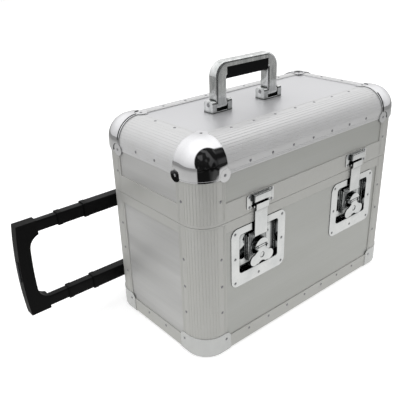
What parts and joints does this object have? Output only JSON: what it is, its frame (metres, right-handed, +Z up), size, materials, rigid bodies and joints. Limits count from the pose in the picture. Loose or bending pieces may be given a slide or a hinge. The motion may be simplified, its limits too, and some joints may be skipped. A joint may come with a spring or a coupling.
{
  "type": "rolling record travel case",
  "caption": "Hard aluminium-edged record case with ball corners, twist latches, hinged lid, folding carry handle, telescopic trolley handle and corner wheels.",
  "frame": {"origin": "middle of the case's footprint, on the floor plane on which the bottom corner caps stand", "axes": "+X towards the wheel end of the case, opposite the end from which the trolley handle pulls out, +Y to the back, where the rails are, +Z up; the latches face -Y"},
  "size_m": [0.6385, 0.273, 0.4225],
  "materials": {
    "laminate": "silver-grey laminate on plywood, satin",
    "top_laminate": "pale silver laminate on plywood, satin",
    "profile": "bright ridged aluminium extrusion",
    "corner_steel": "pressed steel, nickel plated",
    "chrome": "polished chrome plate",
    "plate_steel": "zinc-plated pressed steel",
    "pin_steel": "dull plated steel",
    "foam": "dark grey foam",
    "rubber": "matte black rubber",
    "black_metal": "matte black anodised tube",
    "black_plastic": "matte black nylon",
    "wheel_plastic": "dark grey nylon",
    "tyre": "black rubber tread"
  },
  "bodies": {
    "base": {"base_front_panel": "laminate", "base_back_panel": "laminate", "base_side_panels": "laminate", "base_bottom_panel": "laminate", "base_corner_profiles": "profile", "base_bottom_profiles": "profile", "base_rim": "profile", "base_corner_caps": "corner_steel", "base_rivets": "pin_steel", "base_lining": "foam", "base_screws": "pin_steel", "side_feet": "rubber", "hinge_base_leaves": "plate_steel", "hinge_pins": "pin_steel", "latch_dishes": "plate_steel", "trolley_mouth_bracket": "black_plastic", "trolley_end_bracket": "black_plastic", "trolley_outer_tubes": "black_metal", "wheel_housings": "black_plastic", "wheel_axles": "pin_steel"},
    "lid": {"lid_top_panel": "top_laminate", "lid_front_panel": "laminate", "lid_back_panel": "laminate", "lid_side_panels": "laminate", "lid_edge_profiles": "profile", "lid_corner_profiles": "profile", "lid_rim": "profile", "ball_corners": "chrome", "lid_rivets": "pin_steel", "lid_lining": "foam", "lid_screws": "pin_steel", "hinge_lid_leaves": "plate_steel", "latch_keepers": "plate_steel", "handle_brackets": "chrome", "handle_pins": "pin_steel"},
    "carry_handle": {"carry_handle": "chrome", "carry_handle_grip": "rubber"},
    "left_hub": {"left_latch_hub": "plate_steel"},
    "left_wing": {"left_latch_wing": "chrome"},
    "left_carrier": {"left_latch_carrier": "plate_steel", "left_hook_pin": "pin_steel"},
    "left_hook": {"left_latch_hook": "chrome"},
    "right_hub": {"right_latch_hub": "plate_steel"},
    "right_wing": {"right_latch_wing": "chrome"},
    "right_carrier": {"right_latch_carrier": "plate_steel", "right_hook_pin": "pin_steel"},
    "right_hook": {"right_latch_hook": "chrome"},
    "stage_1": {"trolley_stage_1": "black_metal", "trolley_collars_1": "black_plastic"},
    "stage_2": {"trolley_stage_2": "black_metal", "trolley_collars_2": "black_plastic"},
    "stage_3": {"trolley_stage_3": "black_metal", "trolley_grip": "black_plastic"},
    "button": {"trolley_button": "black_plastic"},
    "lower_wheel": {"lower_wheel_hub": "wheel_plastic", "lower_wheel_tyre": "tyre"},
    "upper_wheel": {"upper_wheel_hub": "wheel_plastic", "upper_wheel_tyre": "tyre"}
  },
  "joints": [
    {"name": "lid_hinge", "type": "hinge", "parent": "base", "child": "lid", "pos_m": [0, 0.1223, 0.227], "axis": [-1, 0, 0], "range_deg": [0, 100]},
    {"name": "handle_fold", "type": "hinge", "parent": "lid", "child": "carry_handle", "pos_m": [-0.0325, 0, 0.3585], "axis": [1, 0, 0], "range_deg": [-90, 90]},
    {"name": "left_hub_turn", "type": "hinge", "parent": "base", "child": "left_hub", "pos_m": [-0.116, -0.119, 0.165], "axis": [0, 1, 0], "range_deg": [0, 180]},
    {"name": "left_wing_flip", "type": "hinge", "parent": "left_hub", "child": "left_wing", "pos_m": [-0.116, -0.1241, 0.165], "axis": [-1, 0, 0], "range_deg": [0, 90]},
    {"name": "left_carrier_lift", "type": "slide", "parent": "base", "child": "left_carrier", "axis": [0, 0, 1], "range_m": [0, 0.003]},
    {"name": "left_hook_tilt", "type": "hinge", "parent": "left_carrier", "child": "left_hook", "pos_m": [-0.116, -0.1198, 0.186], "axis": [1, 0, 0], "range_deg": [0, 75]},
    {"name": "right_hub_turn", "type": "hinge", "parent": "base", "child": "right_hub", "pos_m": [0.116, -0.119, 0.165], "axis": [0, 1, 0], "range_deg": [0, 180]},
    {"name": "right_wing_flip", "type": "hinge", "parent": "right_hub", "child": "right_wing", "pos_m": [0.116, -0.1241, 0.165], "axis": [-1, 0, 0], "range_deg": [0, 90]},
    {"name": "right_carrier_lift", "type": "slide", "parent": "base", "child": "right_carrier", "axis": [0, 0, 1], "range_m": [0, 0.003]},
    {"name": "right_hook_tilt", "type": "hinge", "parent": "right_carrier", "child": "right_hook", "pos_m": [0.116, -0.1198, 0.186], "axis": [1, 0, 0], "range_deg": [0, 75]},
    {"name": "stage_1_slide", "type": "slide", "parent": "base", "child": "stage_1", "axis": [-1, 0, 0], "range_m": [-0.0917, 0.093]},
    {"name": "stage_2_slide", "type": "slide", "parent": "stage_1", "child": "stage_2", "axis": [-1, 0, 0], "range_m": [-0.0387, 0.146]},
    {"name": "stage_3_slide", "type": "slide", "parent": "stage_2", "child": "stage_3", "axis": [-1, 0, 0], "range_m": [-0.0357, 0.149]},
    {"name": "button_press", "type": "slide", "parent": "stage_3", "child": "button", "axis": [1, 0, 0], "range_m": [0, 0.003], "stiffness_N_per_m": 500, "springref_m": -0.002},
    {"name": "lower_wheel_spin", "type": "hinge", "parent": "base", "child": "lower_wheel", "pos_m": [0.2135, 0.103, 0.057], "axis": [0, 0, 1], "continuous": true},
    {"name": "upper_wheel_spin", "type": "hinge", "parent": "base", "child": "upper_wheel", "pos_m": [0.2135, 0.103, 0.184], "axis": [0, 0, 1], "continuous": true}
  ],
  "couplings": [
    {"joint": "left_carrier_lift", "follows": "left_hub_turn", "m_per_rad": 0.00095493},
    {"joint": "right_carrier_lift", "follows": "right_hub_turn", "m_per_rad": 0.00095493}
  ]
}
